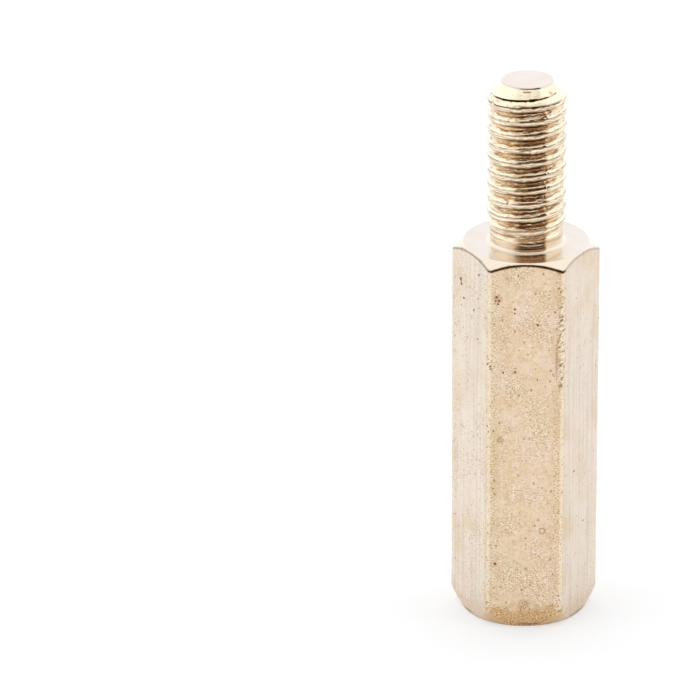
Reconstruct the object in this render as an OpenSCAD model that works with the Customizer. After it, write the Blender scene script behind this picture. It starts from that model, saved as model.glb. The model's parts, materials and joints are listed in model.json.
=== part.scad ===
// Male-female hex standoff for M2.5 threads, turned from brass hex bar.
// It stands on its socket end: the origin is the centre of that end's face, and +Z runs
// along the axis to the stud. Two of the flats face -Y and +Y.
// The threads are left plain: the stud is as thick as its thread is over the crests, and
// the socket is as wide as its thread is inside the crests.

/* [Hex bar] */
// Width across the flats
hex_af = 4; // [3.8:0.1:5.5]
// Length of the hex body, without the stud
body_h = 12.3; // [10:0.1:40]
// Radius on the bar's six long edges
edge_r = 0.15; // [0.05:0.01:0.3]

/* [End faces] */
// Diameter of the flat face round the stud
shoulder_face_d = 3.88; // [3.2:0.01:3.98]
// Height of the stud end's chamfer, measured at the corners
shoulder_chamfer_h = 0.28; // [0.1:0.01:0.8]
// Diameter of the flat face round the socket
socket_face_d = 3.96; // [3.4:0.01:3.98]
// Height of the socket end's chamfer, measured at the corners
socket_chamfer_h = 0.56; // [0.2:0.01:1]

/* [Stud] */
// Diameter over the thread crests
stud_d = 2.44; // [2.38:0.01:2.48]
// Height of the stud above the hex body
stud_h = 5.3; // [3:0.1:12]
// Diameter of the plain neck at the foot of the stud
neck_d = 2.26; // [2.24:0.01:2.28]
// Diameter of the neck where the thread starts to run out
neck_top_d = 2.3; // [2.29:0.01:2.34]
// Height from the hex body to the first full thread
neck_h = 0.8; // [0.4:0.01:1]
// Height of the thread's run-out, above the neck
runout_h = 0.2; // [0.1:0.01:0.25]
// Radius in the corner between the neck and the flat face
foot_r = 0.1; // [0.1:0.01:0.14]
// Diameter of the flat on the stud's tip
tip_flat_d = 1.56; // [1:0.01:2]
// Height of the cone between the thread and the tip's flat
tip_cone_h = 0.5; // [0.2:0.01:1]

/* [Socket] */
// Diameter inside the thread crests
bore_d = 2.1; // [2.02:0.01:2.14]
// Depth of the socket to the start of the drill's point
bore_depth = 8; // [4:0.1:8.5]
// Diameter of the countersink at the face
countersink_d = 3; // [2.6:0.01:3.2]
// Angle of the countersink, from side to side
countersink_angle = 90; // [82:1:120]
// Angle of the drill's point, from side to side
drill_angle = 118; // [90:1:140]

/* [Hidden] */
$fn = 96;
brass = [0.85, 0.73, 0.5];
flats = 6;
step_angle = 360 / flats;
flat_r = hex_af / 2;
corner_r = flat_r / cos(step_angle / 2);
edge_centre_r = (flat_r - edge_r) / cos(step_angle / 2);
thread_h = stud_h - neck_h - tip_cone_h;
countersink_h = (countersink_d - bore_d) / 2 / tan(countersink_angle / 2);
drill_point_h = bore_d / 2 / tan(drill_angle / 2);
overlap = 0.1;

function polar(r, a) = [r * cos(a), r * sin(a)];

// The bar's section: straight flats that run into a small radius on each edge.
module bar_section() {
    polygon([for (i = [0:flats - 1], side = [-1, 1])
        polar(edge_centre_r, i * step_angle) + polar(edge_r, (i + side / 2) * step_angle)]);
    for (i = [0:flats - 1])
        translate(polar(edge_centre_r, i * step_angle))
            circle(r = edge_r);
}

// Everything that the lathe leaves of the bar: a cone at each end trims the corners.
module turned_ends() {
    rotate_extrude()
        polygon([
            [0, 0],
            [socket_face_d / 2, 0],
            [corner_r, socket_chamfer_h],
            [corner_r, body_h - shoulder_chamfer_h],
            [shoulder_face_d / 2, body_h],
            [0, body_h]
        ]);
}

module hex_body() {
    intersection() {
        linear_extrude(body_h)
            bar_section();
        turned_ends();
    }
}

// Concave corner at the foot of the neck. It reaches past the thread's crests, so that a
// plate that fits over the thread lies flat on the face.
module foot_fillet() {
    rotate_extrude()
        difference() {
            square([neck_d / 2 + foot_r, foot_r]);
            translate([neck_d / 2 + foot_r, foot_r])
                circle(r = foot_r);
        }
}

// Foot, neck, run-out, thread and tip cone, from the hex body up. The neck opens a little
// towards the thread.
module stud() {
    translate([0, 0, body_h])
        foot_fillet();
    translate([0, 0, body_h - overlap])
        cylinder(d = neck_d, h = foot_r + overlap);
    translate([0, 0, body_h + foot_r])
        cylinder(d1 = neck_d, d2 = neck_top_d, h = neck_h - runout_h - foot_r);
    translate([0, 0, body_h + neck_h - runout_h])
        cylinder(d1 = neck_top_d, d2 = stud_d, h = runout_h);
    translate([0, 0, body_h + neck_h])
        cylinder(d = stud_d, h = thread_h);
    translate([0, 0, body_h + neck_h + thread_h])
        cylinder(d1 = stud_d, d2 = tip_flat_d, h = tip_cone_h);
}

// Countersink, tapping hole and drill point, cut from the base up.
module socket() {
    translate([0, 0, -overlap])
        cylinder(d = bore_d, h = bore_depth + overlap);
    cylinder(d1 = countersink_d, d2 = bore_d, h = countersink_h);
    translate([0, 0, bore_depth])
        cylinder(d1 = bore_d, d2 = 0, h = drill_point_h);
}

module hex_standoff() {
    color(brass)
        difference() {
            union() {
                hex_body();
                stud();
            }
            socket();
        }
}

hex_standoff();
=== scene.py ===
# %% [markdown]
# # A brass hex standoff
# A standoff like this holds a circuit board clear of its case. It is one piece of metal: a
# hex bar, turned down to a threaded stud at one end, and drilled and tapped at the other.
# The CAD model has the true outside but leaves both threads plain. Here the whole surface
# is built again around that model, with real threads, softened corners and three finishes.

import json
import math

import bpy
from mathutils import Matrix, Vector


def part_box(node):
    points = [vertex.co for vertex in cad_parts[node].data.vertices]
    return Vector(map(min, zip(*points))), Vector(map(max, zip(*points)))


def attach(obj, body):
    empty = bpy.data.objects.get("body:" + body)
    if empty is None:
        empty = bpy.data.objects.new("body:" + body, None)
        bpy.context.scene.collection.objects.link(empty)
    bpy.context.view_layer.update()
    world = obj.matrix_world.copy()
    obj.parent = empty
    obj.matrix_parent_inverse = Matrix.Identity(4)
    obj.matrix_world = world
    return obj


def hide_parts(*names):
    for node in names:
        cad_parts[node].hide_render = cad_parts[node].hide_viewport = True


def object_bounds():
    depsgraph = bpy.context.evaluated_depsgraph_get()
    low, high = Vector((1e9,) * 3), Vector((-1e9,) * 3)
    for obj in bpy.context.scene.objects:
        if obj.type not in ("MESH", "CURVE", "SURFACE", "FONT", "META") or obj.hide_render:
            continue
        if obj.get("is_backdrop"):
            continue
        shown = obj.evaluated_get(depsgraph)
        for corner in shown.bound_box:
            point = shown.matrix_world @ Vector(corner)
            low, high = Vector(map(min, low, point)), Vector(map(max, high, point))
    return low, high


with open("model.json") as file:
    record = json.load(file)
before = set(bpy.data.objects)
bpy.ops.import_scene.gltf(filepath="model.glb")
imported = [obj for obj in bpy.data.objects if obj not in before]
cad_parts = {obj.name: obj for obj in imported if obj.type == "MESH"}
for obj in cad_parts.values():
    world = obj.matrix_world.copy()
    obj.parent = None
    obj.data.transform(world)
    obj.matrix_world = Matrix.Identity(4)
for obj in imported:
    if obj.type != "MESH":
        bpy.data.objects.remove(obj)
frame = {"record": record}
cad_low, cad_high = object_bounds()
mounts = {mount["name"]: mount for mount in frame["record"]["mounts"]}
print("CAD box in mm:", [round(1000 * side, 3) for side in cad_high - cad_low])

# %% [markdown]
# ## Sizes
# Whatever the frame knows is read from it: the width across the flats, the heights and both
# thread radii. The rest are small turned details, given in millimetres like on a drawing.
# Each of them becomes a named input of the node tree that builds the piece.

# %% Sizes of the bar, its ends and its threads
MM = 0.001
low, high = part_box("hex_standoff")
stud_mount, socket_mount = mounts["threaded_stud"], mounts["threaded_socket"]
PITCH = 0.45 * MM
SIZES = {
    "Across Flats": high.y - low.y,
    "Edge Radius": 0.15 * MM,
    "Body Height": mounts["shoulder_face"]["pos_m"][2],
    "Full Height": high.z,
    "Shoulder Face Radius": 1.94 * MM,
    "Shoulder Chamfer": 0.28 * MM,
    "Socket Face Radius": 1.98 * MM,
    "Socket Chamfer": 0.56 * MM,
    "Crease Radius": 0.075 * MM,
    "Foot Radius": 0.1 * MM,
    "Neck Radius": 1.13 * MM,
    "Neck Height": 0.75 * MM,
    "Stud Radius": stud_mount["dims"]["r_mm"] * MM,
    "Tip Flat Radius": 0.78 * MM,
    "Tip Cone Height": 0.5 * MM,
    "Tip Bevel": 0.04 * MM,
    "Pitch": PITCH,
    "Crest Width": 0.11 * MM,
    "Crest Rounding": 0.035 * MM,
    "Rolled Edge Width": 0.07 * MM,
    "Root Depth": 0.2 * MM,
    "Chip Depth": 0.02 * MM,
    "Tool Ring Depth": 0.014 * MM,
    "Edge Wear": 0.02 * MM,
    "Run-out Length": 0.9 * PITCH,
    "Bore Radius": socket_mount["dims"]["r_mm"] * MM,
    "Tapped Depth": 7 * MM,
    "Bore Depth": 8 * MM,
    "Drill Point Height": 0.63 * MM,
    "Countersink Radius": 1.5 * MM,
    "Countersink Height": 0.45 * MM,
}
smallest, largest = min(SIZES.values()) / MM, max(SIZES.values()) / MM
print(f"{len(SIZES)} sizes, from {smallest:.3f} to {largest:.1f} mm")

# %% [markdown]
# ## Node trees as sums
# Both the shape and the finishes are node trees, and most of their nodes are arithmetic.
# Wiring those by hand hides the formula, so one small class wraps a socket: adding or
# multiplying two wires adds the Math node, and `1 - mask` reads as it would on paper.
# Every other node comes from the `node` method, which takes its settings and its inputs.


# %% Wrap a socket
class Wire:
    """One output of a node tree. Arithmetic on wires adds Math nodes to their tree."""

    def __init__(self, tree, socket=None):
        self.tree = tree
        self.socket = socket

    def node(self, kind, values=None, out=0, **settings):
        """Adds a node: its settings first, then the numbers or wires of its sockets."""
        made = self.tree.nodes.new(kind)
        for name, setting in settings.items():
            setattr(made, name, setting)
        for key, value in (values or {}).items():
            if isinstance(value, (Wire, list)):
                for wire in [value] if isinstance(value, Wire) else value:
                    self.tree.links.new(wire.socket, made.inputs[key])
            else:
                made.inputs[key].default_value = value
        return Wire(self.tree, made.outputs[out] if len(made.outputs) else None)

    def output(self, name):
        """Another output of the node that this wire leaves."""
        return Wire(self.tree, self.socket.node.outputs[name])

    def math(self, operation, *values):
        return self.node("ShaderNodeMath", dict(enumerate(values)), operation=operation)

    def __add__(self, other):
        return self.math("ADD", self, other)

    def __sub__(self, other):
        return self.math("SUBTRACT", self, other)

    def __rsub__(self, other):
        return self.math("SUBTRACT", other, self)

    def __mul__(self, other):
        return self.math("MULTIPLY", self, other)

    def __truediv__(self, other):
        return self.math("DIVIDE", self, other)

    def __pow__(self, other):
        return self.math("POWER", self, other)

    def __neg__(self):
        return self * -1.0

    def __abs__(self):
        return self.math("ABSOLUTE", self)

    def __gt__(self, other):
        return self.math("GREATER_THAN", self, other)

    def __lt__(self, other):
        return self.math("LESS_THAN", self, other)

    __radd__ = __add__
    __rmul__ = __mul__

    def at_least(self, other):
        return self.math("MAXIMUM", self, other)

    def at_most(self, other):
        return self.math("MINIMUM", self, other)

    def softly_at_most(self, other, blend):
        return self.math("SMOOTH_MIN", self, other, blend)

    def rise(self, start, end, low=0.0, high=1.0):
        """Goes smoothly from low to high as this wire goes from start to end."""
        limits = dict(enumerate([self, start, end, low, high]))
        return self.node("ShaderNodeMapRange", limits, interpolation_type="SMOOTHSTEP")


def cos(angle):
    return angle.math("COSINE", angle)


def sin(angle):
    return angle.math("SINE", angle)


def square_root(wire):
    return wire.math("SQRT", wire)


def floor(wire):
    return wire.math("FLOOR", wire)


def fraction(wire):
    return wire.math("FRACT", wire)


# %% [markdown]
# A few more helpers: a vector from three numbers, its three numbers again, and noise that
# is sampled in millimetres, so that a scale of 2 always means about two blobs to the
# millimetre. A material can also read a number that the shape's tree stored on the mesh.


# %% Vectors and noise in millimetres
def vector(x, y, z, wire):
    return wire.node("ShaderNodeCombineXYZ", {"X": x, "Y": y, "Z": z})


def parts(wire):
    made = wire.node("ShaderNodeSeparateXYZ", {0: wire})
    return made, made.output("Y"), made.output("Z")


def scaled(spot, scale, stretch=(1, 1, 1)):
    """A point times a number of cells to the millimetre. `stretch` gives an axis more or fewer."""
    factors = tuple(factor * scale / MM for factor in stretch)
    return spot.node("ShaderNodeVectorMath", {0: spot, 1: factors}, operation="MULTIPLY")


def noise(spot, scale, detail=2.0, stretch=(1, 1, 1), seed=0.0, distortion=0.0):
    """Noise from 0 to 1, with `scale` blobs to the millimetre. Each `seed` gives another one."""
    place = {"Vector": scaled(spot, scale, stretch), "W": seed, "Scale": 1.0}
    shape_of_it = {"Detail": detail, "Distortion": distortion}
    return spot.node("ShaderNodeTexNoise", {**place, **shape_of_it}, noise_dimensions="4D")


def attribute(wire, name):
    """A number stored on the mesh, read in a material."""
    return wire.node("ShaderNodeAttribute", attribute_name=name, out="Fac")


# %% [markdown]
# ## The section of the bar
# Drawn hex bar isn't sharp: its six edges have a small radius. Each side of the section
# is a short arc round one edge and then a straight run to the next. The tree lays a flat
# grid of points, whose X says how far round the bar a point is and whose Y how far along a
# band. A formula then moves each point to its place, so every band has the same columns
# and their borders meet point for point.

# %% Start the tree with its named sizes
FLATS = 6
STEP = math.tau / FLATS
ARC_COLUMNS = 6
FLAT_COLUMNS = 16
SIDE_COLUMNS = ARC_COLUMNS + FLAT_COLUMNS
COLUMNS = FLATS * SIDE_COLUMNS

shape_tree = bpy.data.node_groups.new("turned_hex_bar", "GeometryNodeTree")
for title, metres in SIZES.items():
    socket = shape_tree.interface.new_socket(title, in_out="INPUT", socket_type="NodeSocketFloat")
    socket.default_value = metres
shape_tree.interface.new_socket("Seed", in_out="INPUT", socket_type="NodeSocketFloat")
shape_tree.interface.new_socket("Shape", in_out="OUTPUT", socket_type="NodeSocketGeometry")
shape = Wire(shape_tree)
group_input = shape.node("NodeGroupInput")
given = {title: group_input.output(title) for title in SIZES}
seed = group_input.output("Seed")
SEED = 7.0
print(f"{len(given)} sizes come in, and there are {COLUMNS} columns round the bar")

# %% Where each column lies on the section
grid_x, grid_y, _ = parts(shape.node("GeometryNodeInputPosition"))
around = grid_x + 0.5
along = grid_y + 0.5
edge = floor(around * FLATS)
column = (around * FLATS - edge) * SIDE_COLUMNS
bend = (column / ARC_COLUMNS).at_most(1.0)
run = ((column - ARC_COLUMNS) / FLAT_COLUMNS).at_least(0.0)
facing = (edge + bend - 0.5) * STEP
rounding = given["Edge Radius"]
edge_centre = (given["Across Flats"] / 2 - rounding) / math.cos(STEP / 2)
this_edge = edge * STEP
next_edge = this_edge + STEP
centre_x = (cos(this_edge) * (1 - run) + cos(next_edge) * run) * edge_centre
centre_y = (sin(this_edge) * (1 - run) + sin(next_edge) * run) * edge_centre
section_x = cos(facing) * rounding + centre_x
section_y = sin(facing) * rounding + centre_y
hex_radius = square_root(section_x * section_x + section_y * section_y)
unit_x, unit_y = section_x / hex_radius, section_y / hex_radius

# The angle jumps where it passes half a turn, so a whole turn is added beyond that.
past_half = (around > 0.5) * (section_y < 0.0)
turns = section_y.math("ARCTAN2", section_y, section_x) / math.tau + past_half
print("the section's formula takes", len(shape_tree.nodes), "nodes")

# %% [markdown]
# ## Bands
# A turned part is a list of short profiles, from the drill's point inside the socket, out
# over the base, up the flats and over the stud to its tip. Each profile is one band: a grid
# with its radius and height given by a formula. `straight` and `rounded` make the two
# kinds of formula, and keeping one direction throughout keeps every face looking outwards.

# %% Make a band from a radius and a height
DRAWN, TURNED, THREADED = (
    bpy.data.materials.new(name) for name in ("drawn_brass", "turned_brass", "threaded_brass")
)
bands = []


def straight(start, end):
    """A straight profile between two (radius, height) spots."""
    return tuple(a + (b - a) * along for a, b in zip(start, end))


def between(start, end, share):
    return tuple(a + (b - a) * share for a, b in zip(start, end))


def rounded(start, corner, end):
    """A profile that leaves start towards corner and bends round to end."""
    return between(straight(start, corner), straight(corner, end), along)


def band(title, profile, finish, rows, marks=None):
    """Lays a grid of rows by columns, stores `marks` on it and moves it onto the profile."""
    radius, height = profile
    corners = {"Size X": 1.0, "Size Y": 1.0, "Vertices X": COLUMNS + 1, "Vertices Y": rows + 1}
    grid = shape.node("GeometryNodeMeshGrid", corners)
    for name, value in (marks or {}).items():
        stored = {"Geometry": grid, "Name": name, "Value": value}
        grid = shape.node("GeometryNodeStoreNamedAttribute", stored, data_type="FLOAT")
    spot = vector(unit_x * radius, unit_y * radius, height, shape)
    moved = shape.node("GeometryNodeSetPosition", {"Geometry": grid, "Position": spot})
    bands.append(shape.node("GeometryNodeSetMaterial", {"Geometry": moved, "Material": finish}))
    print(f"{title}: {rows} rows, {2 * rows * COLUMNS} triangles")


# %% [markdown]
# ## Threads
# A thread is a ridge that climbs one pitch each turn. If the rows of the grid climb with
# it, each row stays on one part of the ridge, so a dozen or two rows a pitch give clean crests.
# At both ends the rows are held at the band's last height, where they fold up into the flat
# border.

# %% Rows that climb with the thread
SPARE_ROWS = 2
THREAD_START = 0.069  # how many pitches above the base a crest would pass +X


def climbing_height(bottom, top, length, rows_a_pitch, down=False):
    """Row count and height for a helical band. `length` is its greatest height, as a number."""
    pitch = given["Pitch"]
    row = pitch / rows_a_pitch
    rows = rows_a_pitch + math.ceil(length / PITCH * rows_a_pitch) + SPARE_ROWS
    if down:
        height = top + row - along * rows * row + pitch * turns
    else:
        height = bottom + (along * rows - rows_a_pitch) * row + pitch * turns
    return rows, height.at_least(bottom).at_most(top)


def climb(height, wander):
    """How many pitches above the thread's first crest a point is. `wander` shifts it a little."""
    return height / given["Pitch"] - turns - THREAD_START + wander


# %% [markdown]
# The ridge's section is a narrow flat crest and two straight flanks, and the flanks of two
# ridges meet in the root. The side of the crest that the die left last is rolled over: it
# has a bevel, which mirrors what stands in front of it and so shows as a fine dark line.

# %% The thread's section
ROLL_TILT = math.radians(32)


def flank(past_crest, tilt):
    """How deep a flank is at a distance past the crest's edge. It starts with a round."""
    rounding = given["Crest Rounding"]
    round_end = rounding * math.sin(tilt)
    on_round = past_crest.at_most(round_end)
    drop = rounding - square_root(rounding * rounding - on_round * on_round)
    return drop + (past_crest - round_end).at_least(0.0) * math.tan(tilt)


def groove_depth(climbed, flank_tilt, roll_width):
    """How far below its crests the thread's surface is."""
    half_crest = given["Crest Width"] / 2
    above = fraction(climbed) * given["Pitch"]
    past_lower = (above - half_crest).at_least(0.0)
    past_upper = (given["Pitch"] - above - half_crest).at_least(0.0)
    past_roll = (past_lower - roll_width).at_least(0.0)
    steeper = math.tan(flank_tilt) - math.tan(ROLL_TILT)
    rolled = flank(past_lower, ROLL_TILT) + past_roll * steeper
    return rolled.at_most(flank(past_upper, flank_tilt))


def thread_marks(climbed, groove):
    """What the finish of a thread reads: where on the thread a point is, and how deep."""
    angle = climbed * math.tau
    return {"climb sine": sin(angle), "climb cosine": cos(angle), "groove": groove}


# %% [markdown]
# ## From the drill's point to the base
# The socket is drilled, countersunk and tapped, in that order. A drill leaves a cone at the
# bottom, and its last stretch stays plain, because a tap can't reach the bottom of a hole.

# %% Drilled part of the socket
bore, bore_depth = given["Bore Radius"], given["Bore Depth"]
tapped = given["Tapped Depth"]
drill_tip = (0.0, bore_depth + given["Drill Point Height"])
band("drill point", straight(drill_tip, (bore, bore_depth)), TURNED, rows=4)
band("plain bore", straight((bore, bore_depth), (bore, tapped)), TURNED, rows=3)

# %% [markdown]
# The tap's groove is the stud's groove turned inside out: its depth is added to the bore's
# radius. It fades out over its last pitch, as the tap's tapered tip leaves it, and where
# the countersink's cone is wider than the groove, the cone is what remains.

# %% Tapped and countersunk part
TAP_ROWS = 12
TAP_TILT = math.radians(60)
TAP_WANDER = 0.03
socket_length = SIZES["Tapped Depth"]
socket_rows, socket_height = climbing_height(0.0, tapped, socket_length, TAP_ROWS, down=True)
socket_spot = vector(unit_x * bore, unit_y * bore, socket_height, shape)
socket_climb = climb(socket_height, (noise(socket_spot, 3.0, seed=seed) - 0.5) * TAP_WANDER)
tap_depth = groove_depth(socket_climb, TAP_TILT, 0.0)
tap_depth = tap_depth * socket_height.rise(tapped, tapped - given["Pitch"])
sink_share = 1 - socket_height / given["Countersink Height"]
sink = bore + (given["Countersink Radius"] - bore) * sink_share
tapped_profile = (sink.at_least(bore + tap_depth), socket_height)
tap_groove = (tap_depth / given["Root Depth"]).at_most(1.0)
tap_marks = thread_marks(socket_climb, tap_groove)
band("tapped bore", tapped_profile, THREADED, rows=socket_rows, marks=tap_marks)

# %% [markdown]
# ## Base, flats and shoulder
# Both ends of the hex are chamfered on the lathe. A cone cuts a hexagon in curved lines,
# which bend away from the end's face towards each corner. Their height at any column
# follows from how far that column is from the axis. Real creases aren't sharp either, and
# on polished metal the small radius there draws a thin dark line, so each crease gets a
# rounded band.

# %% Spots of a chamfer
sharp_corner = given["Across Flats"] / 2 / math.cos(STEP / 2)


def chamfer(face_radius, face_height, drop):
    """The (radius, height) spots of a chamfer: its face's rim, then three across its crease."""
    width = hex_radius - face_radius
    fall = width * drop / (sharp_corner - face_radius)
    rim = (face_radius, face_height)
    crease = (hex_radius, face_height + fall)
    cone_length = square_root(width * width + fall * fall)
    on_cone = between(crease, rim, (given["Crease Radius"] / cone_length).at_most(0.5))
    direction = drop / abs(drop)
    on_side = (hex_radius, crease[1] + direction * given["Crease Radius"])
    return rim, on_cone, crease, on_side


body = given["Body Height"]
socket_rim, socket_cone, socket_crease, socket_side = chamfer(
    given["Socket Face Radius"], 0.0, given["Socket Chamfer"]
)
shoulder_rim, shoulder_cone, shoulder_crease, shoulder_side = chamfer(
    given["Shoulder Face Radius"], body, -given["Shoulder Chamfer"]
)
half_width = SIZES["Across Flats"] / 2
corner_radius = half_width / math.cos(STEP / 2)
steepness = SIZES["Socket Chamfer"] / (corner_radius - SIZES["Socket Face Radius"])
climbs = (corner_radius - half_width) * steepness
print(f"the base's crease climbs {climbs / MM:.2f} mm from the middle of a flat to a sharp corner")

# %% Base
mouth = (given["Countersink Radius"], 0.0)
band("base face", straight(mouth, socket_rim), TURNED, rows=6)
band("base chamfer", straight(socket_rim, socket_cone), TURNED, rows=5)
band("base crease", rounded(socket_cone, socket_crease, socket_side), DRAWN, rows=4)

# %% [markdown]
# The bar's long edges get knocked when standoffs lie together in a box. Noise takes up to
# two hundredths of a millimetre off them. A mask keeps this beside the edges, because the
# flats must stay true, and another keeps it away from both ends of the band, because its
# border has to meet the next band's.

# %% Flats
FLAT_ROWS = 150
KEPT_END = 0.02
side_radius, side_height = straight(socket_side, shoulder_side)
near_corner = (hex_radius - given["Across Flats"] / 2).rise(0.2 * MM, 0.28 * MM)
inner_rows = along.rise(0.0, KEPT_END) * along.rise(1.0, 1 - KEPT_END)
side_spot = vector(unit_x * hex_radius, unit_y * hex_radius, side_height, shape)
nicks = noise(side_spot, 5.0, detail=3.0, seed=seed + 3).rise(0.5, 0.75)
side_radius = side_radius - nicks * near_corner * inner_rows * given["Edge Wear"]
band("flats", (side_radius, side_height), DRAWN, rows=FLAT_ROWS)

# %% [markdown]
# The shoulder's crease carries a mark that is 1 along its middle and falls to 0 at both
# borders, so that the finish can paint a dark line of shade there. A small round at the foot
# of the neck is what the tool's rounded tip leaves.

# %% Shoulder
CREASE_NARROWING = 2.5
foot, neck = given["Foot Radius"], given["Neck Radius"]
crease_line = (along * (1 - along) * 4) ** CREASE_NARROWING
shoulder_bend = rounded(shoulder_side, shoulder_crease, shoulder_cone)
band("shoulder crease", shoulder_bend, DRAWN, rows=8, marks={"crease": crease_line})
band("shoulder chamfer", straight(shoulder_cone, shoulder_rim), TURNED, rows=5)
band("shoulder face", straight(shoulder_rim, (neck + foot, body)), TURNED, rows=10)
band("foot", rounded((neck + foot, body), (neck, body), (neck, body + foot)), TURNED, rows=6)

# %% [markdown]
# ## The stud
# The neck, the thread and the tip's cone are one climbing band: its radius is the smaller
# of the blank's and the thread's. The die stops short of the shoulder, so the last groove
# gets shallower and fades out in the neck. A cut thread is never perfect, so noise shifts
# its flanks and chips its crests, and the first turn, where the die bit in, is rolled most.

# %% Rows of the stud
STUD_ROWS = 24
THREAD_WANDER = 0.16
CONE_LEFT = 0.1  # the share of the tip's cone that is left to the plain bands above
crest, top = given["Stud Radius"], given["Full Height"]
tip_flat, tip_cone = given["Tip Flat Radius"], given["Tip Cone Height"]
cone_end = between((tip_flat, top), (crest, top - tip_cone), CONE_LEFT)
stud_length = SIZES["Full Height"] - SIZES["Body Height"]
stud_rows, stud_height = climbing_height(body + foot, cone_end[1], stud_length, STUD_ROWS)
stud_spot = vector(unit_x * crest, unit_y * crest, stud_height, shape)
wander = (noise(stud_spot, 3.0, detail=4.0, seed=seed + 1) - 0.5) * THREAD_WANDER
stud_climb = climb(stud_height, wander)
print("the stud has", STUD_ROWS, "rows a pitch,", stud_rows, "rows in all")

# %% Depth of the thread
FLANK_TILT = math.radians(49.5)
MORE_ROLL = 0.9
DEEPER_FIRST_TURN = 0.5
DEEPER_ON_CONE = 1.5
ROOT_BLEND = 0.012 * MM
first_turn = stud_height.rise(top - 0.95 * MM, top - 0.7 * MM)
roll = noise(stud_spot, 5.0, detail=3.0, seed=seed + 5).rise(0.3, 0.65, 0.7, 1.3)
roll = given["Rolled Edge Width"] * roll * (1 + first_turn * MORE_ROLL)
chips = noise(stud_spot, 9.0, detail=3.0, seed=seed + 2).rise(0.5, 0.7) * given["Chip Depth"]
depth = groove_depth(stud_climb, FLANK_TILT, roll) + chips
depth = depth * stud_height.rise(top - 0.5 * MM, top - 0.3 * MM, 1.0, DEEPER_ON_CONE)
deepest = given["Root Depth"] * (1 + first_turn * DEEPER_FIRST_TURN)
depth = depth.softly_at_most(deepest, ROOT_BLEND)
print(f"flanks tilt by {math.degrees(FLANK_TILT)} degrees, roots blend over {ROOT_BLEND / MM} mm")

# %% [markdown]
# The blank under the thread is the neck, which opens a little upwards and has fine rings
# from the tool, then the crests' cylinder, and then the tip's cone. The thread's depth is
# let in gradually above the neck. At both ends the band returns to the plain profile, so
# that its borders are circles and meet the bands beside it.

# %% Blank, and the stud cut in it
NECK_TAPER = 0.035
BLANK_BLEND = 0.03 * MM
CREST_BLEND = 0.01 * MM
BORDER = 0.03 * MM
neck_end = body + given["Neck Height"]
cut_in = stud_height.rise(neck_end - given["Run-out Length"], neck_end + 0.2 * MM)
depth = depth.softly_at_most((crest - neck) + cut_in * given["Root Depth"], BLANK_BLEND)
ring_noise = noise(vector(0.0, 0.0, stud_height, shape), 11.0, detail=3.0, seed=seed + 4)
rings = (ring_noise - 0.5) * given["Tool Ring Depth"]
tapered_neck = neck + (stud_height - body - foot) * NECK_TAPER
past_neck = (stud_height - neck_end).at_least(0.0)
cone = tip_flat + (top - stud_height) * (crest - tip_flat) / tip_cone
blank = (tapered_neck + past_neck + rings).at_most(crest).softly_at_most(cone, BLANK_BLEND)
stud_radius = (crest - depth).softly_at_most(blank, CREST_BLEND)
at_cone_end = stud_height.rise(top - 0.1 * MM, cone_end[1])
at_foot = stud_height.rise(body + foot + BORDER, body + foot)
stud_radius = stud_radius * (1 - at_cone_end) + cone * at_cone_end
stud_radius = stud_radius * (1 - at_foot) + neck * at_foot
groove = ((blank - (crest - depth)) / given["Root Depth"]).at_least(0.0).at_most(1.0)
stud_marks = thread_marks(stud_climb, groove)
stud_profile = (stud_radius, stud_height)
band("neck, thread and tip cone", stud_profile, THREADED, rows=stud_rows, marks=stud_marks)

# %% [markdown]
# The cone ends in a steeper bevel and a round edge, and inside it the tip is faced flat. The
# last band closes on the axis, where all its columns meet in one point.

# %% Tip
BEVEL_TILT = ROLL_TILT
FLAT_SHARE = 0.94
bevel = given["Tip Bevel"]
bevel_end = (cone_end[0] - bevel * math.tan(BEVEL_TILT), cone_end[1] + bevel)
tip_rim = (tip_flat * FLAT_SHARE, top)
band("tip bevel", straight(cone_end, bevel_end), TURNED, rows=2)
band("tip edge", rounded(bevel_end, (bevel_end[0], top), tip_rim), TURNED, rows=4)
band("tip flat", straight(tip_rim, (0.0, top)), TURNED, rows=6)

# %% [markdown]
# ## One closed skin
# The bands meet point for point, so merging the doubled points closes the skin, with one
# point left at each pole. Smooth shading would smear the light over the creases that stay
# sharp, so edges with a steep angle are marked.

# %% Join the bands and finish the tree
WELD = 0.6e-3 * MM
SHARP_ANGLE = math.radians(36)
joined = shape.node("GeometryNodeJoinGeometry", {"Geometry": bands})
welded = shape.node("GeometryNodeMergeByDistance", {"Geometry": joined, "Distance": WELD})
smooth = shape.node("GeometryNodeSetShadeSmooth", {"Geometry": welded, "Shade Smooth": True})
steep = shape.node("GeometryNodeInputMeshEdgeAngle") > SHARP_ANGLE
creased = shape.node(
    "GeometryNodeSetShadeSmooth",
    {"Geometry": smooth, "Selection": steep, "Shade Smooth": False},
    domain="EDGE",
)
real = shape.node("GeometryNodeRealizeInstances", {"Geometry": creased})
shape.node("NodeGroupOutput", {0: real})
print("bands joined:", len(bands), "in a tree of", len(shape_tree.nodes), "nodes")

# %% [markdown]
# A modifier runs the tree. Its inputs are set by their identifiers, because two inputs may
# share a name, and before the object is first evaluated. The result is then kept as a plain
# mesh and the modifier goes, so what the frame gets is just points and faces.

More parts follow.
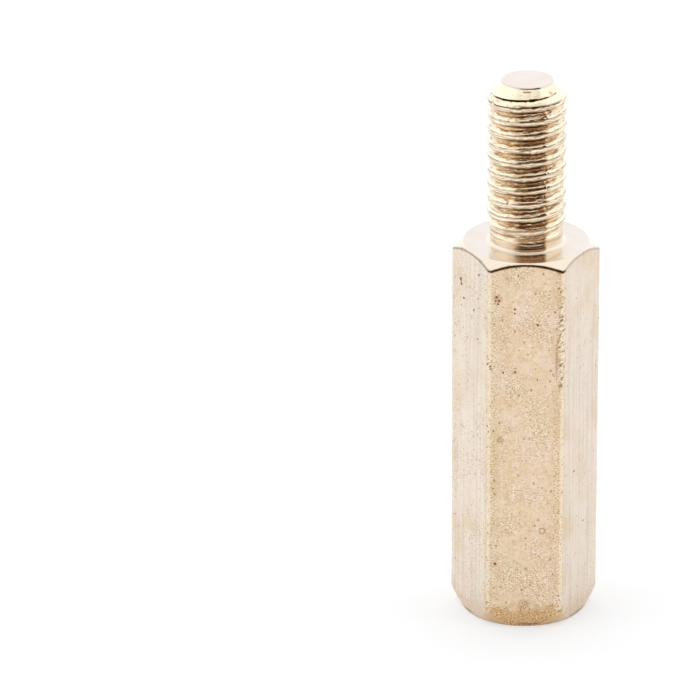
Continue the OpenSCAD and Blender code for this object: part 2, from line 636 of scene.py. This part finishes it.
# %% Run the tree and keep its plain mesh
standoff = bpy.data.objects.new("turned_standoff", bpy.data.meshes.new("blank"))
bpy.context.scene.collection.objects.link(standoff)
builder = standoff.modifiers.new("turned_hex_bar", "NODES")
builder.node_group = shape_tree
for item in shape_tree.interface.items_tree:
    if item.in_out == "INPUT":
        builder[item.identifier] = SIZES.get(item.name, SEED)
settled = bpy.context.evaluated_depsgraph_get()
skin = bpy.data.meshes.new_from_object(standoff.evaluated_get(settled), depsgraph=settled)
standoff.modifiers.remove(builder)
skin.materials.pop(index=0)  # an empty slot, from the object's first mesh
standoff.data = skin
triangles = sum(len(face.vertices) - 2 for face in skin.polygons)
print("skin:", len(skin.vertices), "points and", triangles, "triangles")
print("finishes:", [finish.name for finish in skin.materials])

# %% [markdown]
# The CAD node stays hidden in its place for collision, and this piece stands for it. There
# is no joint, so everything rides on the one body.

# %% Hand the piece to the frame
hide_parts("hex_standoff")
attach(standoff, "root")
print(standoff.name, "stands for hex_standoff")

# %% [markdown]
# ## Finish
# All of it is bare brass, but each process leaves its own surface: the flats keep the skin
# of the drawn bar, with fine lines along it, pits and handling marks; the turned ends are
# brighter, with rings; and the thread has painted shade under its crests. So there are three
# materials, made of the same few helpers. Colours start from the metal's own reflection
# colours, and painted light and shade are laid on them: paler side flats, highlights on edges
# and crests, shade in the crease, under the crests and at the foot, and reflections on the
# thread. A clear coat over it adds the sharp gloss of a part that is still bright.

# %% Colours
DRAWN_SKIN = (0.79, 0.605, 0.405, 1)
# Painted light: the flats other than the front get this paler colour.
PAINTED_PALE_FLATS = (0.79, 0.69, 0.585, 1)
FACED = (0.74, 0.64, 0.57, 1)
# Painted highlight: brighter than brass, for the thread's crests.
CREST_HIGHLIGHT = (1.0, 0.87, 0.64, 1)
# Painted light: the left flat is painted paler still.
PAINTED_PALE_LEFT_FLAT = (0.90, 0.80, 0.68, 1)
PINKISH = (0.84, 0.69, 0.58, 1)
GREENISH = (0.74, 0.64, 0.45, 1)
PALE_GOLD = (0.91, 0.79, 0.58, 1)
GOLDEN = (0.70, 0.475, 0.24, 1)
GROOVE = (0.80, 0.59, 0.36, 1)
AMBER = (0.62, 0.37, 0.13, 1)
BROWN = (0.38, 0.20, 0.08, 1)
# Dark for both real dirt and painted shade.
DIRT_AND_SHADE = (0.055, 0.024, 0.007, 1)
print("from", CREST_HIGHLIGHT[:3], "on a crest to", DIRT_AND_SHADE[:3], "in its corner")


# %% Helpers for the finishes
MICROMETRE = 0.001 * MM
COAT_IOR = 1.6


def fresh(material):
    """Empties a material. Returns the object's own coordinates and their three numbers."""
    material.use_nodes = True
    material.node_tree.nodes.clear()
    spot = Wire(material.node_tree).node("ShaderNodeTexCoord", out="Object")
    return spot, *parts(spot)


def mix(share, first, second):
    """The first colour where share is 0, and the second where it is 1."""
    values = {0: share, 6: first, 7: second}
    return share.node("ShaderNodeMix", values, out=2, data_type="RGBA")


def layered(colour, *layers):
    """Lays colours over the first one. Each layer is a mask and the colour that it brings."""
    for mask, above in layers:
        colour = mix(mask, colour, above)
    return colour


def metal(colour, roughness, relief, coat=1.0, coat_roughness=0.12):
    """The shader that all finishes share. Relief is in micrometres."""
    normal = colour.node("ShaderNodeBump", {"Height": relief, "Distance": MICROMETRE})
    base = {"Base Color": colour, "Metallic": 1.0, "Roughness": roughness, "Normal": normal}
    clear = {"Coat Weight": coat, "Coat Roughness": coat_roughness, "Coat IOR": COAT_IOR}
    shader = colour.node("ShaderNodeBsdfPrincipled", {**base, **clear})
    colour.node("ShaderNodeOutputMaterial", {"Surface": shader})
    print(f"shader done, with {len(colour.tree.nodes)} nodes")


def progress(title):
    """Prints how large the tree of the material in hand has become."""
    print(f"{title}: {len(spot.tree.nodes)} nodes so far")


# %% [markdown]
# ### The drawn flats
# First come masks that say where on the bar a point lies. `front` is 1 on the flat that
# faces -Y, which is the most worn and keeps the skin's own colour; the other flats are
# painted paler, as painted light that falls brighter on them. `left` is 1 on the next flat
# towards -X, which is painted paler still. `lateral` is the distance from a flat's middle line.

# %% Where a point lies on the bar
spot, x, y, z = fresh(DRAWN)
reach = square_root(x * x + y * y)
turn = y.math("ARCTAN2", y, x) / STEP
lateral = reach * sin((fraction(turn) - 0.5) * STEP)
front = y.rise(-1.85 * MM, -1.95 * MM)
left = x.rise(-1.0 * MM, -1.2 * MM) * y.rise(0.1 * MM, -0.1 * MM) * (1 - front)
beside_edge = abs(lateral).rise(0.74 * MM, 0.95 * MM)
# The rounded edges, where a painted highlight goes.
corner = reach.rise(2.262 * MM, 2.28 * MM)
progress("masks of the bar")

# %% [markdown]
# The skin of drawn bar is smooth but not even. Its tone drifts over a millimetre or so, and
# the die leaves faint lines along it. Each of these is one noise, stretched where it follows
# the bar, and it moves the colour only a little, towards gold, pink, green or brown.

# %% Tone of the drawn skin
patch = noise(spot, 0.9, detail=4.0, seed=1.0)
tint = noise(spot, 1.8, detail=3.0, stretch=(1, 1, 0.6), seed=2.0)
streak = noise(spot, 7.0, detail=2.0, stretch=(1, 1, 0.02), seed=4.0)
line = noise(spot, 26.0, stretch=(1, 1, 0.02), seed=5.0)
# Painted light: every flat but the front is painted paler.
colour = mix(front, PAINTED_PALE_FLATS, DRAWN_SKIN)
colour = layered(
    colour,
    # Painted light on the left flat.
    (left * 0.5, PAINTED_PALE_LEFT_FLAT),
    (patch.rise(0.45, 0.7) * 0.5, GOLDEN),
    (tint.rise(0.45, 0.65) * 0.6, PINKISH),
    (tint.rise(0.5, 0.3) * 0.45, GREENISH),
    (streak.rise(0.42, 0.68) * (0.2 + front * 0.15), GOLDEN),
    (streak.rise(0.55, 0.35) * (0.22 - front * 0.14), BROWN),
    (line.rise(0.5, 0.7) * (0.18 - front * 0.08), BROWN),
)
progress("tone")

# %% [markdown]
# Close up, the skin has an orange peel of a seventh of a millimetre, and fine grit between
# its bumps. Where the peel's noise passes one value, its contour lines wander about like
# worm tracks, brown with a pale rim. They come and go in patches of about a millimetre.

# %% Orange peel and grit
peel = noise(spot, 7.0, detail=2.0, seed=3.0, distortion=1.2)
grit = noise(spot, 16.0, detail=2.0, stretch=(1, 1, 1.5), seed=6.0)
rough_patch = noise(spot, 1.1, detail=3.0, seed=9.0).rise(0.42, 0.62, 0.12, 1.45)
worm = abs(peel - 0.5).rise(0.022, 0.008) * rough_patch * front
worm_rim = abs(peel - 0.545).rise(0.022, 0.008) * rough_patch * front
dark_grit = grit.rise(0.5, 0.34) * (0.12 + front * 0.4 + left * 0.33) * rough_patch
pale_grit = grit.rise(0.53, 0.66) * (front * 0.6 + left * 0.4) * rough_patch
colour = layered(
    colour,
    (peel.rise(0.5, 0.35) * (0.08 + front * 0.14), BROWN),
    (peel.rise(0.55, 0.75) * (0.15 + front * 0.35), PALE_GOLD),
    (worm * 0.4, BROWN),
    (worm_rim * 0.6, PALE_GOLD),
    (dark_grit, BROWN),
    (pale_grit, PALE_GOLD),
)
progress("peel and grit")

# %% [markdown]
# Handling wears a flat's borders first. They are more golden than its middle and speckled
# brown and pale, and the front's left one is greenish in places. The rounded edges
# themselves get a painted highlight.

# %% Worn edges, and painted highlights on the rounded edges
golden_side = beside_edge * (0.2 + front * 0.6) * peel.rise(0.3, 0.6) * rough_patch
front_side = beside_edge * front
colour = layered(
    colour,
    (golden_side * 0.6, GOLDEN),
    (front_side * (lateral < 0.0) * tint.rise(0.4, 0.6) * 0.6, GREENISH),
    (front_side * grit.rise(0.53, 0.61) * 0.75, BROWN),
    (front_side * grit.rise(0.46, 0.36) * 0.8, PALE_GOLD),
    # Painted highlight along the rounded edges.
    (corner * peel.rise(0.25, 0.5) * 0.6, PALE_GOLD),
)
progress("worn edges")

# %% [markdown]
# The foot of the bar is painted browner, most on the front, as a painted reflection of the
# shaded floor beside it, with grit in it. Noise added to the height makes the band's upper
# border ragged, and a painted dark line of contact shade, broken here and there, lies along
# the foot of each flat.

# %% Browner foot
ragged = z + (peel - 0.5) * 0.8 * MM + (patch - 0.5) * 1.2 * MM
# Painted shade: the browner foot, a painted reflection of the shaded floor, most on the front.
low_down = ragged.rise(0.8 * MM, 0.35 * MM) * (0.3 + front * 0.7)
# Painted shade: a dark contact line along the foot of each flat.
contact_shade_line = abs(z - 0.085 * MM + (peel - 0.5) * 0.08 * MM).rise(0.05 * MM, 0.025 * MM)
contact_shade_line = contact_shade_line * patch.rise(0.42, 0.5, 0.15, 1.0)
colour = layered(
    colour,
    # Painted reflected shade at the foot, with grit speckles in it.
    (low_down * 0.72, AMBER),
    (low_down * grit.rise(0.5, 0.6) * 0.8, BROWN),
    (low_down * grit.rise(0.44, 0.36) * 0.6, PALE_GOLD),
    (contact_shade_line * 0.5, DIRT_AND_SHADE),
)
progress("foot")

# %% [markdown]
# ### Pits and stains
# Pits are of two kinds. Small ones lie all over, so they come from noise and from a
# scatter of round spots, each of them centred on a point of a Voronoi texture. The most
# worn places show them most.

# %% Small pits
def scattered(spot, scale, radius, share, stretch=(1, 1, 1)):
    """Round spots: `radius` in cells of a grid, and `share` of the cells have one."""
    cells = {"Vector": scaled(spot, scale, stretch), "Scale": 1.0}
    near = spot.node("ShaderNodeTexVoronoi", cells, out="Distance")
    return near.rise(radius, radius / 2) * (parts(near.output("Color"))[0] < share)


specks = noise(spot, 8.0, detail=2.0, seed=8.0).rise(0.63, 0.69)
pinholes = scattered(spot, 4.0, 0.15, 0.8, stretch=(1, 1, 0.7))
worn = 0.35 + front * 0.5 + left * 0.3 + beside_edge * 0.3
progress("small pits")

# %% [markdown]
# The few large pits and the stains have places of their own, given as the flat's facing and
# the millimetres across and up it, with a radius.

# %% Places on the flats
FRONT, LEFT, RIGHT = (math.radians(angle) for angle in (270, 210, 330))
STAINS = [
    (FRONT, -0.87, 11.14, 0.2),
    (FRONT, -0.78, 6.4, 0.17),
    (FRONT, 0.0, 0.75, 0.25),
    (FRONT, 0.85, 0.7, 0.15),
    (FRONT, 0.87, 8.6, 0.08),
]
PITS = [
    (FRONT, -0.91, 11.2, 0.05),
    (FRONT, -0.84, 11.08, 0.05),
    (FRONT, -0.87, 10.97, 0.04),
    (FRONT, -0.94, 11.07, 0.035),
    (FRONT, -0.91, 2.16, 0.06),
    (FRONT, -0.7, 8.68, 0.045),
    (FRONT, -0.33, 8.7, 0.045),
    (FRONT, 0.36, 10.28, 0.045),
    (FRONT, -0.35, 10.8, 0.045),
    (FRONT, -0.35, 10.66, 0.035),
    (LEFT, -0.56, 11.19, 0.085),
    (LEFT, -0.52, 11.05, 0.075),
    (LEFT, 0.55, 11.72, 0.055),
    (LEFT, -0.37, 10.62, 0.06),
    (LEFT, 0.25, 10.44, 0.06),
    (LEFT, 0.5, 9.56, 0.045),
    (RIGHT, -0.39, 5.06, 0.045),
    (RIGHT, 0.23, 3.13, 0.045),
]
print(len(STAINS), "stains and", len(PITS), "large pits")


# %% Marks with a place of their own
def on_flat(facing, across, height):
    """The point on a flat that lies so many millimetres across and up it, in metres."""
    face = SIZES["Across Flats"] / 2
    x_across, y_across = -math.sin(facing) * across * MM, math.cos(facing) * across * MM
    return face * math.cos(facing) + x_across, face * math.sin(facing) + y_across, height * MM


def mark(facing, across, height, radius, tall=1.0):
    """A soft mask on a flat. Noise bends its outline, so that it isn't a perfect disc."""
    shrink = (1, 1, 1 / tall)
    middle = tuple(a * b for a, b in zip(on_flat(facing, across, height), shrink))
    squashed = spot.node("ShaderNodeVectorMath", {0: spot, 1: shrink}, operation="MULTIPLY")
    ends = {0: squashed, 1: middle}
    away = spot.node("ShaderNodeVectorMath", ends, out="Value", operation="DISTANCE")
    return (away * (0.1 + peel * 0.7 + grit * 1.1)).rise(radius * MM, radius * MM / 2)


def any_mark(places):
    """One mask for a whole list of places."""
    mask = mark(*places[0])
    for place in places[1:]:
        mask = mask.at_least(mark(*place))
    return mask


stain, pit = any_mark(STAINS), any_mark(PITS)
RING_PLACE = (FRONT, 0.55, 3.3)
ring_mark = (mark(*RING_PLACE, 0.15) - mark(*RING_PLACE, 0.09)).at_least(0.0)
progress("with the marks")

# %% [markdown]
# One edge has been knocked against something: a burr of short slanting strokes runs along
# it, with a brown streak beside it and a dark spot near each end. A shorter burr lies on the
# front's other edge. The strokes are a noise that is long along one diagonal of the flat and
# short along the other.

# %% The knocked edge
along_strokes = (z + lateral) * 0.35
across_strokes = (z - lateral * 0.8) * 1.6
slanted = vector(across_strokes, along_strokes, 0.0, spot)
strokes = noise(slanted, 9.0, detail=2.0, seed=7.0)
burr = mark(FRONT, 1.12, 9.7, 0.17, tall=11.0).at_least(mark(FRONT, -1.15, 9.0, 0.14, tall=2.5))
brown_streak = mark(FRONT, 0.95, 9.1, 0.06, tall=12.0)
dark_streak = mark(FRONT, 1.06, 8.25, 0.1).at_least(mark(FRONT, 1.02, 12.05, 0.13))
progress("with the knocks")

# %% [markdown]
# Now the marks are laid over the skin, from the faintest to the darkest. The painted shade in
# the crease and the bare bottoms of pits have no gloss, so the coat is left off them, and
# relief follows the masks.

# %% Finish of the drawn flats
# Painted shade: a dark line along the shoulder's crease, strongest on the front.
crease_shade = attribute(spot, "crease") * (0.4 + front * 0.6 + left * 0.25)
colour = layered(
    colour,
    (stain * peel.rise(0.38, 0.55) * 0.35, AMBER),
    (stain * grit.rise(0.45, 0.55) * 0.8, BROWN),
    (specks * worn * 0.7, BROWN),
    (pinholes * worn * 0.9, BROWN),
    (brown_streak * 0.35, AMBER),
    (brown_streak * grit.rise(0.4, 0.5) * 0.6, BROWN),
    (burr * strokes.rise(0.52, 0.58) * 0.9, BROWN),
    (burr * strokes.rise(0.56, 0.62) * 0.5, DIRT_AND_SHADE),
    (burr * strokes.rise(0.47, 0.4) * 0.8, PALE_GOLD),
    (dark_streak * grit.rise(0.35, 0.5) * 0.8, BROWN),
    (ring_mark * 0.85, BROWN),
    (pit, BROWN),
    (pit * 0.5, DIRT_AND_SHADE),
    # Painted shade in the crease.
    (crease_shade, DIRT_AND_SHADE),
)
roughness = 0.1 + patch * 0.08 + (pit + specks + pinholes) * 0.2 + low_down * 0.1
raised = line * 0.3 + streak * 0.5 + peel * 1.5 + burr * strokes * 10.0
sunk = (pit + pinholes) * 3.0 + specks
bare = (pit + pinholes + crease_shade).at_most(1.0)
coat = 1 - bare.at_least(low_down * 0.7)
metal(colour, roughness, raised - sunk, coat)

# %% [markdown]
# ### The turned ends
# A lathe tool leaves rings. On a face they are told apart by their distance from the axis
# and on a cone by their height too, so one noise of distance less height serves all of
# them. The outer rim is paler, and the round at the neck's foot gets a painted highlight.
# The base end's chamfer is painted a more golden brown, browner on the front, as a painted
# reflection of the shaded floor under it, and its lowest edge gets painted contact shade.

# %% Finish of the turned ends
spot, x, y, z = fresh(TURNED)
reach = square_root(x * x + y * y)
ring = noise(vector(reach - z, 0.0, 0.0, spot), 14.0, seed=10.0)
cloud = noise(spot, 1.3, detail=4.0, seed=11.0)
grain = noise(spot, 16.0, detail=3.0, seed=12.0)
# Painted shade: the base chamfer is browner, as a painted reflection of the shaded floor, and its
# lowest edge gets painted contact shade.
low_down = z.rise(0.6 * MM, 0.3 * MM) * reach.rise(1.6 * MM, 1.9 * MM)
under_edge = z.rise(0.07 * MM, 0.02 * MM) * reach.rise(1.9 * MM, 1.97 * MM)
colour = mix(cloud.rise(0.4, 0.7) * 0.3, FACED, GOLDEN)
colour = mix(grain.rise(0.6, 0.75) * 0.2, colour, BROWN)
# Painted highlight on the round at the neck's foot.
foot_round = reach.rise(1.28 * MM, 1.22 * MM) * reach.rise(1.0 * MM, 1.1 * MM)
outer_rim = reach.rise(1.93 * MM, 1.96 * MM)
colour = layered(
    colour,
    (outer_rim.at_least(foot_round) * 0.5, PALE_GOLD),
    (low_down * cloud.rise(0.3, 0.6, 0.35, 0.85), GOLDEN),
    # Painted shade, on the front only.
    (low_down * y.rise(-1.6 * MM, -1.85 * MM) * 0.7, AMBER),
    # Painted contact shade along the lowest edge.
    (under_edge * grain.rise(0.35, 0.55) * 0.8, BROWN),
)
roughness = 0.12 + ring * 0.08 + low_down * 0.15
relief = ring * 1.6 + grain * 0.4
metal(colour, roughness, relief, coat_roughness=0.15)

# %% [markdown]
# ### The threads
# The rows stored where they are on the thread: the sine and cosine of the climb, because
# unlike the climb itself these two never jump. Their angle gives back the distance from the
# nearest crest, in pitches. With it, hairlines can follow the thread, painted shade can lie
# under the crests, and the crests can carry a painted highlight, brighter than the grooves.

# %% Where a point lies on the thread
spot, x, y, z = fresh(THREADED)
body_top, tip_top = SIZES["Body Height"], SIZES["Full Height"]
neck_top = body_top + SIZES["Neck Height"]
climb_sine, climb_cosine = attribute(spot, "climb sine"), attribute(spot, "climb cosine")
offset = climb_sine.math("ARCTAN2", climb_sine, climb_cosine) / math.tau
groove = attribute(spot, "groove")
threaded = z.rise(neck_top - 0.2 * MM, neck_top - 0.05 * MM)
on_thread = threaded * z.rise(tip_top - 0.42 * MM, tip_top - 0.5 * MM)
facing_front = y.rise(-0.95 * MM, -1.12 * MM)
# Where the thread mirrors the dark opening, in the front's middle: marks under this mask are
# painted reflection and shade.
middle = abs(x - 0.11 * MM).rise(0.52 * MM, 0.46 * MM) * (y < 0.0)
progress("masks of the thread")

# %% [markdown]
# The die drags fine lines along the thread. Their noise is sampled in the thread's own
# directions, finely across it and coarsely along it, so they follow every turn. The waves
# are another noise, which lets the drawn lines wander a little from their place.

# %% Noises of the thread
across_thread = vector(offset * PITCH * 9, x * 0.9, y * 0.9 + z, spot)
feed = noise(across_thread, 3.2, detail=3.0, seed=23.0)
wave = noise(spot, 3.0, detail=4.0, seed=20.0)
cloud = noise(spot, 2.0, detail=4.0, seed=21.0)
grain = noise(spot, 16.0, detail=3.0, seed=22.0)
neck_line = noise(spot, 13.0, detail=2.0, stretch=(0.06, 0.06, 1), seed=24.0)
specks = noise(spot, 7.0, detail=2.0, seed=25.0).rise(0.66, 0.72)


def along_thread(centre, half_width, gate, unevenness=0.08):
    """A line that follows the thread, `centre` pitches above the crest. `gate` breaks it up."""
    shifted = offset - centre + (wave - 0.5) * unevenness
    return abs(shifted).rise(half_width, half_width / 2) * gate * on_thread


progress("noises of the thread")

# %% [markdown]
# A dark line of painted shade lies on the flank under each crest, broader and darker on the
# front. Above the crest runs the line where the metal has rolled over, painted dark as a
# painted reflection of the dark opening, and thin broken lines lie on the crest itself. In the
# middle of the front, where the thread mirrors the dark opening, the painted roll line is a
# little broader and the flank beside it gets painted shade.

# %% Painted shade under the crests, painted roll lines, and hairlines
shade_breaks = wave.rise(0.35, 0.5, 0.6, 1.0)
# Painted shade under each crest, broader and darker on the front.
shade_under_crest = along_thread(-0.23, 0.13 + facing_front * 0.07, shade_breaks)
hairline = feed.rise(0.57, 0.64) * cloud.rise(0.4, 0.5, 0.3, 1.0) * on_thread
crest_line = along_thread(-0.03, 0.045, cloud.rise(0.4, 0.47), unevenness=0.35)
rim_line = along_thread(0.1, 0.045, cloud.rise(0.6, 0.5), unevenness=0.35)
# Painted reflection: the dark roll line, broader where the thread mirrors the dark opening.
roll_width = 0.045 + middle * 0.015
roll_line = along_thread(0.17, roll_width, wave.rise(0.4, 0.55), unevenness=0.2)
# Painted shade on the flank above the crest, where the thread mirrors the dark opening.
painted_flank_shade = groove.rise(0.14, 0.22) * groove.rise(0.9, 0.75) * (offset > 0.0) * middle
progress("dirt and hairlines")

# %% [markdown]
# The first turn under the tip is where the die bit in. It is torn on the right of the front,
# with a ragged dark patch above its crest, and its roll line is painted dark as a painted
# reflection. The groove that runs out over the tip's cone has painted shade on its upper
# flank. A short dark dash lies on the cone, under the bevel.

# %% The first turn and the tip
first_turn = z.rise(tip_top - 0.75 * MM, tip_top - 0.6 * MM)
bite = abs(x - 0.4 * MM).rise(0.75 * MM, 0.5 * MM) * (y < 0.0)
torn = along_thread(0.22, 0.19, first_turn * bite, unevenness=0.45)
# Painted reflection: the first turn's roll line.
rolled_over = along_thread(0.17, 0.05, first_turn * wave.rise(0.35, 0.5))
near_tip = z.rise(tip_top - 0.45 * MM, tip_top - 0.38 * MM)
# Painted shade on the upper flank of the groove that runs out over the cone.
cut_cone = near_tip * groove.rise(0.02, 0.15) * (offset < 0.0)
dash = abs(z - tip_top + 0.11 * MM).rise(0.03 * MM, 0.015 * MM)
dash = dash * abs(x + 0.02 * MM).rise(0.14 * MM, 0.1 * MM) * (y < 0.0)
progress("first turn and tip")

# %% [markdown]
# On the neck the tool and the die have scratched a few lines. They climb like the thread:
# one pitch on the way round, so their height changes with X by the thread's slope. Each is
# given by its height above the hex body, and all of them fade out at the sides. A painted dark
# line, a painted reflection of the dark opening, lies at the neck's foot in the middle of the
# front, and one more follows the thread where it runs out.

# %% Scratches round the neck
CLIMB_SLOPE = PITCH / (math.tau * SIZES["Neck Radius"])
above_body = z - x * CLIMB_SLOPE - body_top + (wave - 0.5) * 0.12 * MM


def neck_ring(height, half_width, gate=1.0):
    """A wavy line round the neck, at a height above the hex body in millimetres."""
    away = abs(above_body - height * MM)
    return away.rise(half_width * MM, half_width * MM / 2) * gate


scratched = neck_ring(0.82, 0.04, cloud.rise(0.4, 0.5)).at_least(neck_ring(0.71, 0.05))
scratched = scratched.at_least(neck_ring(0.54, 0.06, wave.rise(0.35, 0.45)))
scratched = scratched.at_least(neck_ring(0.46, 0.03, cloud.rise(0.55, 0.45)))
scratched = scratched * abs(x).rise(0.8 * MM, 0.55 * MM) * (y < 0.0)
# Painted reflection: a dark line at the neck's foot, only where it mirrors the dark opening.
foot_reflection_line = (z - body_top).rise(0.16 * MM, 0.12 * MM) * middle
run_out = z.rise(neck_top - 0.45 * MM, neck_top - 0.3 * MM) * (1 - threaded)
run_out_line = abs(offset + 0.2 + (wave - 0.5) * 0.2).rise(0.07, 0.03)
run_out_line = run_out_line * run_out * wave.rise(0.3, 0.5)
progress("scratches")

# %% [markdown]
# The colours go on in layers: first the metal, with a painted highlight on the crests and
# browner down in the grooves, then the lines that are drawn on it, and the dirt and painted
# shade last. Facing the dark opening, the bottom of the groove is painted bright as a painted
# reflection, and the flank above the crest gets painted shade.

# %% Metal of the threads
in_groove = groove.rise(0.1, 0.5)
on_neck = 1 - threaded
# Painted highlight: the thread starts from the bright crest colour, and the grooves go over it.
colour = mix(cloud.rise(0.4, 0.65) * 0.22, CREST_HIGHLIGHT, GOLDEN)
colour = layered(
    colour,
    (groove.rise(0.1, 0.6) * 0.8, GROOVE),
    (in_groove * feed.rise(0.48, 0.62) * (0.7 - middle * 0.45), BROWN),
    (in_groove * feed.rise(0.48, 0.36) * 0.6, PALE_GOLD),
    (grain.rise(0.55, 0.7) * 0.3, BROWN),
    (hairline * (0.25 + groove * 0.35), DIRT_AND_SHADE),
    (on_neck * feed.rise(0.5, 0.7) * 0.4, BROWN),
    # Painted reflection: facing the dark opening, the bottom of the groove is painted bright.
    (groove.rise(0.4, 0.8) * middle * 0.6, CREST_HIGHLIGHT),
    # Painted shade on the flank above the crest.
    (painted_flank_shade * 0.4, BROWN),
)
progress("metal")

# %% Finish of the threads
# Painted reflection: the roll lines of every turn and of the first; the tear and the dash are dark
# marks laid with them.
rolled_lines = (roll_line * 0.75).at_least(torn).at_least(rolled_over).at_least(dash * 0.7)
colour = layered(
    colour,
    (crest_line.at_least(rim_line) * 0.65, BROWN),
    (on_neck * neck_line.rise(0.52, 0.62) * 0.45, BROWN),
    (specks * 0.6, BROWN),
    (rolled_lines, DIRT_AND_SHADE),
    (run_out_line * 0.8, BROWN),
    (scratched * 0.85, BROWN),
    (foot_reflection_line * 0.6, DIRT_AND_SHADE),
    # Painted shade under the crests, darkest on the front, and in the groove on the cone.
    (shade_under_crest * 0.95, mix(facing_front * 0.75, BROWN, DIRT_AND_SHADE)),
    (cut_cone * 0.95, DIRT_AND_SHADE),
)
roughness = 0.08 + groove * 0.1 + grain * 0.06
relief = feed * 6.0 + grain * 2.0 + groove * grain * 3.0
# No coat where shade is painted under the crests and on the cone.
coat = 1 - shade_under_crest.at_least(cut_cone)
metal(colour, roughness, relief, coat)

# %% [markdown]
# ## Floor and light
# The floor is plain. Its own colour is a middle grey, which keeps the light that it throws
# up at the metal at a fair level, and a glow that only the camera and mirrors see lifts it
# to white, with the shadow still on it.

# %% Floor
FLOOR_SIDE = 0.12
FLOOR_DROP = 0.01 * MM  # just under the base, so that the two don't share a plane
GLOW = 0.52
bpy.ops.mesh.primitive_plane_add(size=FLOOR_SIDE, location=(0, 0, -FLOOR_DROP))
ground = bpy.context.object
ground.name = "floor"
ground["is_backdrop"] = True
paint = bpy.data.materials.new("floor")
paint.use_nodes = True
paint.node_tree.nodes.clear()
rays = Wire(paint.node_tree).node("ShaderNodeLightPath")
seen = rays.output("Is Camera Ray").at_least(rays.output("Is Glossy Ray"))
matt = rays.node("ShaderNodeBsdfDiffuse", {"Color": (0.55, 0.55, 0.55, 1)})
glow = rays.node("ShaderNodeEmission", {"Strength": seen * GLOW})
both = rays.node("ShaderNodeAddShader", {0: matt, 1: glow})
rays.node("ShaderNodeOutputMaterial", {"Surface": both})
ground.data.materials.append(paint)
print("floor side:", FLOOR_SIDE, "m")

# %% [markdown]
# Bright metal looks like whatever is around it. Small metal parts are lit in a white tent,
# open on the side that the camera looks in from, so the world is that tent: white nearly
# everywhere, with one dark opening. The opening draws the dark lines on the thread and the
# brown patch on the neck. It is half dark low down, paler in a narrow stripe above that and
# darkest high up, and its light is warm. Lamps make the tent's sides and top a fifth
# brighter. The camera itself sees plain white behind the object.

# %% World
SIDE_AND_TOP_LIGHT = 0.2
CAMERA_WHITE = (1, 1, 1, 1)
COOL = (0.97, 1.0, 1.03, 1)
WARM = (1.0, 0.64, 0.4, 1)
world = bpy.data.worlds.new("tent")
bpy.context.scene.world = world
world.use_nodes = True
world.node_tree.nodes.clear()
x, y, z = parts(Wire(world.node_tree).node("ShaderNodeTexCoord"))
heading = x.math("ARCTAN2", x, -y) * math.degrees(1)
height = z.math("ARCSINE", z) * math.degrees(1)
opening = heading.rise(-50, -14) * heading.rise(62, 67, 1.0, 0.0)
opening = opening * height.rise(-14, -6) * height.rise(46, 54, 1.0, 0.0)
darkness = height.rise(17, 8, 0.35, 0.6).at_least(height.rise(14, 22, 0.0, 0.93))
lamps = abs(heading).rise(50, 75).at_least(height.rise(60, 75))
tent = 1 - opening * darkness + lamps * SIDE_AND_TOP_LIGHT
seen = x.node("ShaderNodeLightPath", out="Is Camera Ray")
light_colour = mix(lamps * (1 - seen), CAMERA_WHITE, COOL)
light_colour = mix(opening * (1 - seen), light_colour, WARM)
strength = seen + (1 - seen) * tent
light = x.node("ShaderNodeBackground", {"Color": light_colour, "Strength": strength})
x.node("ShaderNodeOutputWorld", {"Surface": light})
print("world has", len(world.node_tree.nodes), "nodes")

# %% [markdown]
# ## Camera
# A long lens from far off keeps the hex bar's sides nearly upright. The camera looks down
# a little, enough to show the shoulder and the tip as ovals, and stands to the left of the
# object, which puts it on the right of the picture.

# %% Camera
DISTANCE = 186.43 * MM
LOOK_DOWN = math.radians(23.143)
TURN = math.radians(1.265)
ROLL = math.radians(-0.25)
AIM_HEIGHT = 8 * MM
TO_THE_LEFT = 5.464 * MM
LIFT = 0.564 * MM
FOCAL_LENGTH = 307.2
NEAREST = 0.01
level = Matrix.Rotation(TURN, 4, "Z") @ Matrix.Rotation(math.pi / 2 - LOOK_DOWN, 4, "X")
right, up, back = (level.col[i].to_3d() for i in range(3))
eye = Vector((0, 0, AIM_HEIGHT)) + back * DISTANCE - right * TO_THE_LEFT + up * LIFT
lens = bpy.data.cameras.new("camera")
lens.lens = FOCAL_LENGTH
lens.clip_start = NEAREST
camera = bpy.data.objects.new("camera", lens)
bpy.context.scene.collection.objects.link(camera)
camera.matrix_world = Matrix.Translation(eye) @ level @ Matrix.Rotation(ROLL, 4, "Z")
bpy.context.scene.camera = camera
bpy.context.scene.view_settings.view_transform = "Standard"
print("camera at", [round(side / MM, 1) for side in eye], "mm")

# %% [markdown]
# ## The two boxes
# Both boxes, the CAD model's and the visual model's, are set side by side, and the largest gap
# between them is printed. The visual model may not outgrow the CAD model.

# %% Set both boxes side by side
visual_low, visual_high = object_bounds()
boxes = {"cad": [list(cad_low), list(cad_high)], "visual": [list(visual_low), list(visual_high)]}
growth = max(abs(a - b) for pair in zip(boxes["cad"], boxes["visual"]) for a, b in zip(*pair))
print(f"the two boxes agree to {growth / MICROMETRE:.2f} micrometres")
